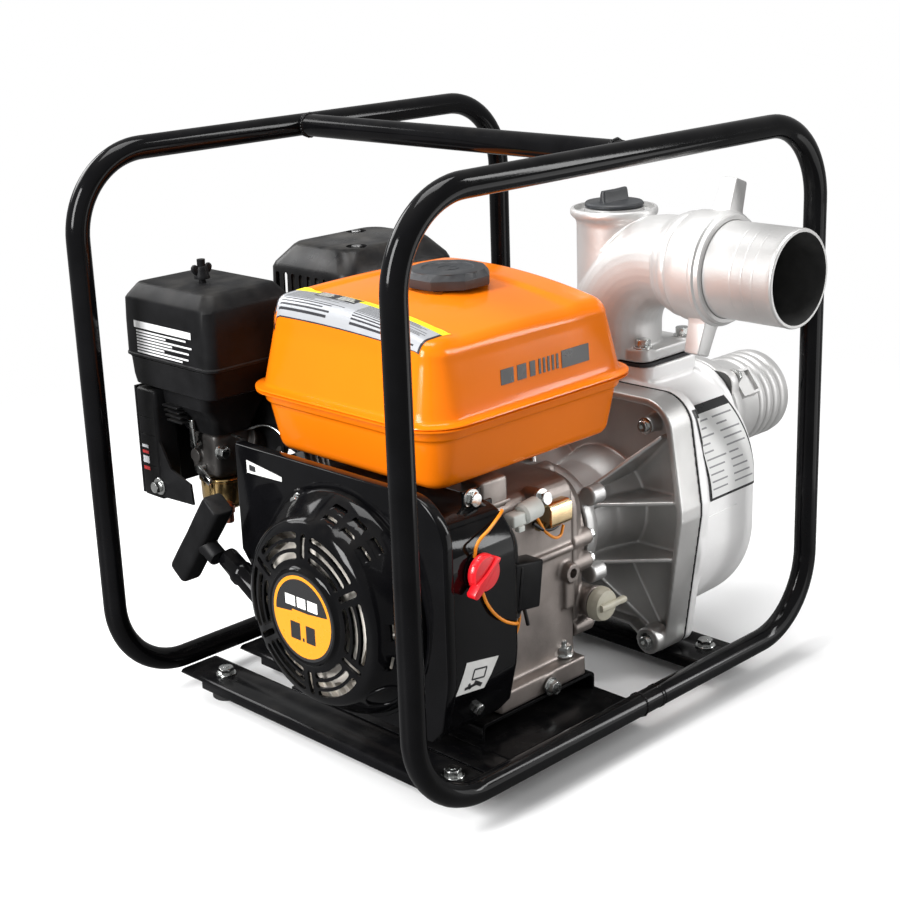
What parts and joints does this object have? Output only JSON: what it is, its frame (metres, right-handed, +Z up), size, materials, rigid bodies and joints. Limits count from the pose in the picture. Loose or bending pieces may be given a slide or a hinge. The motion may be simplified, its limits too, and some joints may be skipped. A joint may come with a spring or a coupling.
{
  "type": "portable fire pump",
  "caption": "Portable petrol engine fire pump in a tubular carry frame, with recoil starter, fuel tank, centrifugal pump, suction port and swivel discharge outlet.",
  "frame": {"origin": "on the ground, under the middle of the bounding box", "axes": "+X along the crankshaft from the recoil starter to the pump and suction port, -Y towards the discharge outlet's open end, +Z up"},
  "size_m": [0.5791, 0.421, 0.4795],
  "materials": {
    "black_paint": "gloss black powder coat",
    "black_plastic": "fine texture",
    "brass": "drawn",
    "cast_aluminium": "as-cast, tumbled",
    "engine_casting": "die-cast, painted grey",
    "foam": "open-cell foam and paper",
    "grey_plastic": "moulded",
    "orange_paint": "gloss orange paint",
    "red_plastic": "moulded",
    "rubber": "moulded",
    "seal_black": "carbon and rubber",
    "steel": "zinc plated"
  },
  "bodies": {
    "pump_set": {"air_cleaner_base": "black_plastic", "air_cleaner_cover": "black_plastic", "air_filter_element": "foam", "blower_housing": "black_paint", "carburettor": "cast_aluminium", "casing_drain_plug": "steel", "control_panel": "black_plastic", "crankcase": "engine_casting", "crankcase_side_cover": "engine_casting", "cylinder_head": "engine_casting", "discharge_elbow": "cast_aluminium", "discharge_hose_barb": "cast_aluminium", "engine_base_plate": "black_paint", "engine_riser": "black_paint", "engine_switch_body": "black_plastic", "far_hoop": "black_paint", "float_bowl": "brass", "front_base_plate": "black_paint", "front_far_foot_bolt": "steel", "front_far_rubber_foot": "rubber", "front_near_foot_bolt": "steel", "front_near_rubber_foot": "rubber", "fuel_tank_lower": "orange_paint", "fuel_tank_upper": "orange_paint", "inner_volute": "cast_aluminium", "mechanical_seal": "seal_black", "muffler": "black_paint", "muffler_guard": "black_plastic", "near_hoop": "black_paint", "oil_alert_unit": "black_plastic", "oil_drain_bolt": "steel", "outlet_gasket": "rubber", "pump_bracket": "cast_aluminium", "pump_casing": "cast_aluminium", "rear_base_plate": "black_paint", "rear_far_foot_bolt": "steel", "rear_far_rubber_foot": "rubber", "rear_near_foot_bolt": "steel", "rear_near_rubber_foot": "rubber", "recoil_cover": "black_paint", "rocker_cover": "steel", "spark_plug": "rubber", "suction_port": "cast_aluminium", "top_crossbar": "black_paint"},
    "crank": {"crankshaft": "steel", "flywheel_fan": "cast_aluminium", "impeller": "cast_aluminium"},
    "piston": {"piston": "cast_aluminium"},
    "recoil_reel": {"recoil_reel": "steel"},
    "recoil_handle": {"recoil_handle": "black_plastic"},
    "fuel_cap": {"fuel_cap": "black_plastic"},
    "priming_cap": {"priming_cap": "black_plastic"},
    "air_cleaner_knob": {"air_cleaner_knob": "black_plastic"},
    "oil_dipstick_cap": {"oil_dipstick_cap": "grey_plastic"},
    "coupling_nut": {"coupling_nut": "cast_aluminium"},
    "engine_switch_knob": {"engine_switch_knob": "red_plastic"},
    "choke_lever": {"choke_lever": "steel"},
    "fuel_cock_lever": {"fuel_cock_lever": "steel"},
    "throttle_lever": {"throttle_lever": "black_plastic"},
    "check_valve_flap": {"check_valve_flap": "rubber"}
  },
  "joints": [
    {"name": "crank_spin", "type": "hinge", "parent": "pump_set", "child": "crank", "pos_m": [-0.04125, -0.0415, 0.143], "axis": [1, 0, 0], "continuous": true},
    {"name": "piston_slide", "type": "slide", "parent": "pump_set", "child": "piston", "axis": [0, 0.9397, 0.342], "range_m": [-0.054, 0]},
    {"name": "recoil_handle_pull", "type": "slide", "parent": "pump_set", "child": "recoil_handle", "axis": [0, 0.866, 0.5], "range_m": [0, 0.45]},
    {"name": "recoil_reel_spin", "type": "hinge", "parent": "pump_set", "child": "recoil_reel", "pos_m": [-0.24125, -0.0415, 0.143], "axis": [1, 0, 0], "range_deg": [0, 516]},
    {"name": "fuel_cap_turn", "type": "hinge", "parent": "pump_set", "child": "fuel_cap", "pos_m": [-0.06525, -0.0085, 0.357], "axis": [0, 0, 1], "range_deg": [0, 90]},
    {"name": "priming_cap_turn", "type": "hinge", "parent": "pump_set", "child": "priming_cap", "pos_m": [0.12675, -0.0205, 0.394], "axis": [0, 0, 1], "range_deg": [0, 270]},
    {"name": "air_cleaner_knob_turn", "type": "hinge", "parent": "pump_set", "child": "air_cleaner_knob", "pos_m": [-0.19075, 0.1475, 0.364], "axis": [0, 0, 1], "range_deg": [0, 360]},
    {"name": "dipstick_cap_turn", "type": "hinge", "parent": "pump_set", "child": "oil_dipstick_cap", "pos_m": [-0.01025, -0.1143, 0.094], "axis": [0, -1, 0], "range_deg": [0, 360]},
    {"name": "coupling_nut_turn", "type": "hinge", "parent": "pump_set", "child": "coupling_nut", "pos_m": [0.12675, -0.1085, 0.353], "axis": [0, -1, 0], "range_deg": [0, 270]},
    {"name": "engine_switch_turn", "type": "hinge", "parent": "pump_set", "child": "engine_switch_knob", "pos_m": [-0.18425, -0.1505, 0.184], "axis": [0, -1, 0], "range_deg": [0, 60]},
    {"name": "choke_lever_turn", "type": "hinge", "parent": "pump_set", "child": "choke_lever", "pos_m": [-0.20725, 0.1535, 0.226], "axis": [1, 0, 0], "range_deg": [0, 60]},
    {"name": "fuel_cock_turn", "type": "hinge", "parent": "pump_set", "child": "fuel_cock_lever", "pos_m": [-0.20725, 0.1495, 0.206], "axis": [1, 0, 0], "range_deg": [0, 90]},
    {"name": "throttle_turn", "type": "hinge", "parent": "pump_set", "child": "throttle_lever", "pos_m": [-0.19125, 0.0675, 0.2228], "axis": [0, 0, 1], "range_deg": [-5, 30]},
    {"name": "check_valve_swing", "type": "hinge", "parent": "pump_set", "child": "check_valve_flap", "pos_m": [0.17775, -0.0545, 0.228], "axis": [0, 1, 0], "range_deg": [0, 35]}
  ],
  "couplings": [
    {"joint": "recoil_reel_spin", "follows": "recoil_handle_pull", "rad_per_m": 20}
  ]
}
